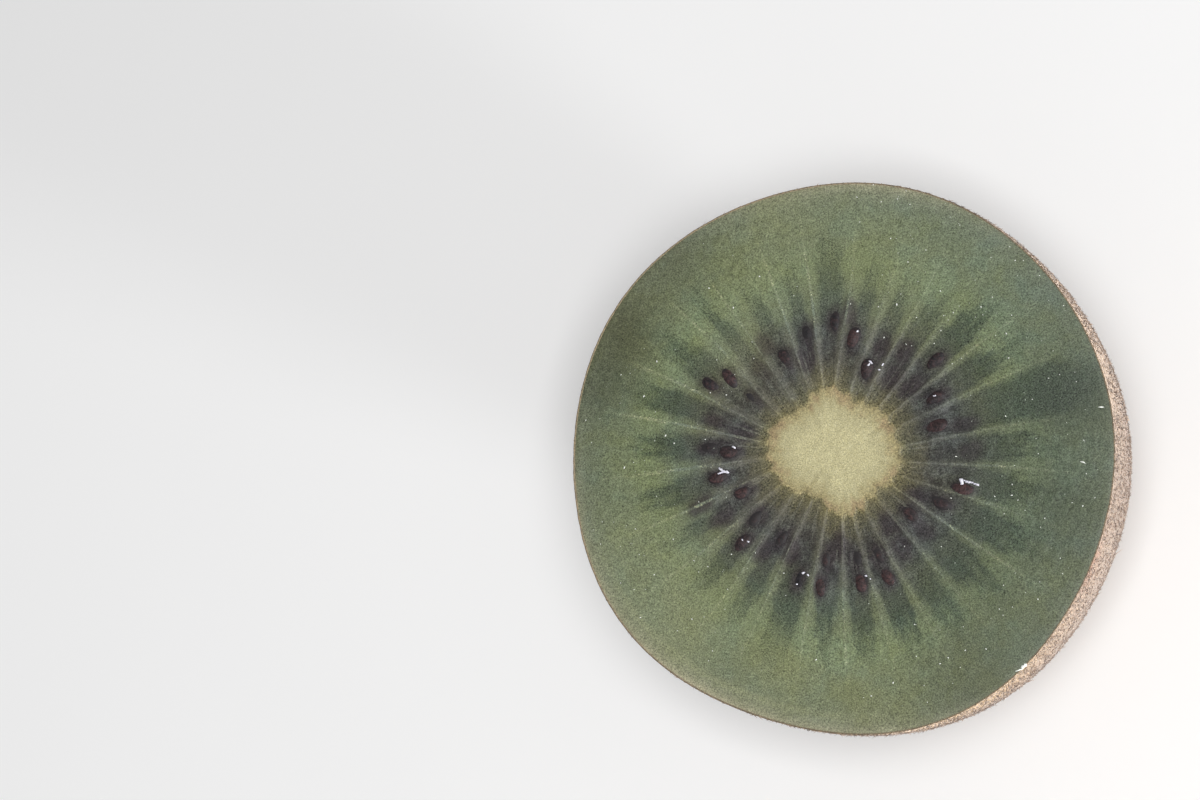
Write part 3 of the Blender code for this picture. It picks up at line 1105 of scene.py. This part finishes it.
def peel_material():
    """Thin peel, painted light tan on its lit side and brown round the back, closely flecked with brown,
    golden by the cut, corky scar.
    """
    nodes = Nodes("peel_skin")
    place = nodes.place()
    broad = nodes.noise(place, 0.14, 3.0, 0.6)
    stubble = nodes.noise(nodes.place(0.85), 4.3, 3.0, 0.9, 0.4)
    fine = nodes.noise(place, 2.2, 3.0, 0.7)
    # Painted light: a pale tan ground for the lit side, mixed to brown round the back and low down.
    ground = nodes.mix(nodes.span(broad, 0.35, 0.65), srgb(133, 115, 101), srgb(144, 125, 111))
    gold = nodes.times(nodes.value("gold"), nodes.span(fine, 0.35, 0.60, 0.35, 0.95))
    ground = nodes.mix(gold, ground, srgb(168, 137, 90))
    patch = nodes.span(nodes.noise(place, 0.22, 3.0, 0.6), 0.40, 0.60, 0.65, 1.0)
    ground = nodes.mix(nodes.times(nodes.value("brown"), patch), ground, srgb(112, 94, 70))
    colour = nodes.scaled(ground, nodes.span(stubble, 0.38, 0.62, 0.26, 1.62, "LINEAR"))
    streaks = nodes.noise(nodes.place(0.30), 1.9, 3.0, 0.7)
    rust = nodes.times(nodes.value("rust"), nodes.span(streaks, 0.40, 0.56))
    rust = nodes.math("MAXIMUM", nodes.span(streaks, 0.56, 0.68, 0.0, 0.45), rust)
    colour = nodes.mix(rust, colour, srgb(128, 82, 54))
    dark = nodes.span(nodes.cells(place, 1.9), 0.24, 0.10, 0.0, 0.80)
    colour = nodes.mix(dark, colour, srgb(72, 51, 40))
    cut = nodes.value("cut")
    rim = nodes.mix(nodes.span(stubble, 0.44, 0.58), srgb(66, 58, 44), srgb(146, 126, 98))
    colour = nodes.mix(nodes.span(cut, 0.10, 0.60), colour, rim)
    colour = nodes.mix(nodes.span(cut, 0.60, 0.95), colour, nodes.mix(0.5, rim, srgb(150, 138, 106)))
    bark = nodes.mix(fine, srgb(64, 46, 34), srgb(128, 98, 70))
    return nodes.finish(
        Base_Color=nodes.mix(nodes.value("scar"), colour, bark),
        Roughness=nodes.span(fine, 0.3, 0.7, 0.62, 0.85),
        Sheen_Weight=0.7,
        Sheen_Roughness=0.45,
        Sheen_Tint=(1.0, 0.86, 0.78, 1.0),
        Normal=nodes.bump(nodes.line(stubble, 1.6, fine), 0.08 * MM, 0.8),
    )


def hair_material(name, dark, light, brown_dark, brown_light):
    """Dry plant hair, each strand its own tone, paler towards its tip, rusty on brown peel."""
    nodes = Nodes(name)
    tan = nodes.mix(nodes.value("tone"), dark, light)
    rusty = nodes.mix(nodes.value("tone"), brown_dark, brown_light)
    tone = nodes.mix(nodes.value("brown"), tan, rusty)
    return nodes.finish(
        Base_Color=nodes.scaled(tone, nodes.line(nodes.value("along"), 0.5, 0.75)),
        Roughness=0.55,
        Sheen_Weight=0.3,
    )


# ---------------------------------------------------------------- stage, light, camera
VIEW_TILT = 18.7           # degrees between the camera's line and the fruit's axis
VIEW_BEARING = -19.0       # degrees from +X, the side of the peel that shows
VIEW_DISTANCE = 390.0 * MM
VIEW_WIDTH = 114.88 * MM   # how much of the cut face's plane the frame takes in, side to side
FACE_RIGHT = 22.71 * MM    # the face's middle lies this far right of the frame's middle
FACE_DOWN = 5.43 * MM      # and this far below it
SENSOR_WIDTH = 36.0
FLOOR_HALF = 1.5           # half the floor's width, in metres


def build_camera():
    """Looks down on the cut face, a little from the side, with the half right of the middle."""
    tilt = math.radians(VIEW_TILT)
    bearing = math.radians(VIEW_BEARING)
    toward = Vector((
        math.sin(tilt) * math.cos(bearing),
        math.sin(tilt) * math.sin(bearing),
        math.cos(tilt),
    ))
    centre = Vector((AXIS[0], AXIS[1], DEPTH))
    up = (Vector((0.0, 1.0, 0.0)) - toward * toward.y).normalized()
    right = up.cross(toward)
    aim = centre - right * FACE_RIGHT + up * FACE_DOWN
    camera = new_object("camera", bpy.data.cameras.new("camera"))
    camera.location = centre + toward * VIEW_DISTANCE
    back = (camera.location - aim).normalized()
    side = up.cross(back).normalized()
    above = back.cross(side)
    camera.rotation_mode = "QUATERNION"
    turn = np.array((side, above, back)).T
    camera.rotation_quaternion = Matrix([list(row) for row in turn]).to_quaternion()
    camera.data.sensor_width = SENSOR_WIDTH
    camera.data.lens = SENSOR_WIDTH * VIEW_DISTANCE / VIEW_WIDTH
    camera.data.clip_start = 0.01
    camera.data.clip_end = 10.0
    bpy.context.scene.camera = camera


def area_light(name, place, size, power):
    """A soft, white, square light that faces the fruit: place and size in metres, power in watts."""
    light = bpy.data.lights.new(name, "AREA")
    light.shape = "SQUARE"
    light.size = size
    light.energy = power
    holder = new_object(name, light)
    holder.location = place
    aim = Vector((0.0, 0.0, DEPTH)) - Vector(place)
    holder.rotation_mode = "QUATERNION"
    holder.rotation_quaternion = aim.to_track_quat("-Z", "Y")


def build_stage():
    """A pale floor, an even surround and two soft lights."""
    nodes = Nodes("floor_paper")
    speck = nodes.noise(nodes.place(), 0.02, 3.0)
    tone = nodes.mix(speck, (0.92, 0.92, 0.92), (0.95, 0.95, 0.95))
    material = nodes.finish(Base_Color=tone, Roughness=0.9)
    corners = [(FLOOR_HALF * x, FLOOR_HALF * y, 0.0) for x, y in ((-1, -1), (1, -1), (1, 1), (-1, 1))]
    floor = new_piece("floor", corners, [(0, 1, 2, 3)], material)
    world = bpy.data.worlds.new("surround")
    bpy.context.scene.world = world
    world.use_nodes = True
    background = world.node_tree.nodes["Background"]
    background.inputs["Color"].default_value = (1.0, 1.0, 1.0, 1.0)
    background.inputs["Strength"].default_value = 0.30
    area_light("key", (0.20, -0.07, 0.68), 0.22, 3.2)
    area_light("side", (0.475, -0.270, 0.035), 0.10, 5.2)
    bpy.context.scene.view_settings.view_transform = "Standard"


# ---------------------------------------------------------------- build
def main():
    """Make every piece, hang it on the fruit's body, and hide the CAD flesh and core that it takes the place
    of.
    """
    flesh = build_flesh(flesh_material())
    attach(flesh, "root")
    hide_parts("flesh")
    core = build_core(core_material())
    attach(core, "root")
    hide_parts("core")
    peel = build_peel(peel_material())
    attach(peel, "root")
    seeds = build_seeds(seed_material())
    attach(seeds, "root")
    for piece in (build_jelly_glints(jelly_glint_material()), build_flecks_and_glints(fleck_glint_material())):
        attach(piece, "root")
    rusty = (srgb(104, 66, 42), srgb(196, 142, 98))
    golden = (srgb(176, 112, 64), srgb(232, 184, 126))
    short_hair = hair_material("short_hair", srgb(74, 52, 38), srgb(170, 144, 122), *rusty)
    long_hair = hair_material("long_hair", srgb(150, 108, 70), srgb(226, 190, 140), *golden)
    for piece in (
        build_fuzz("short_fuzz", *SHORT_FUZZ, 51, short_hair),
        build_fuzz("long_fuzz", *LONG_FUZZ, 52, long_hair),
    ):
        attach(piece, "root")
    build_stage()
    build_camera()


main()
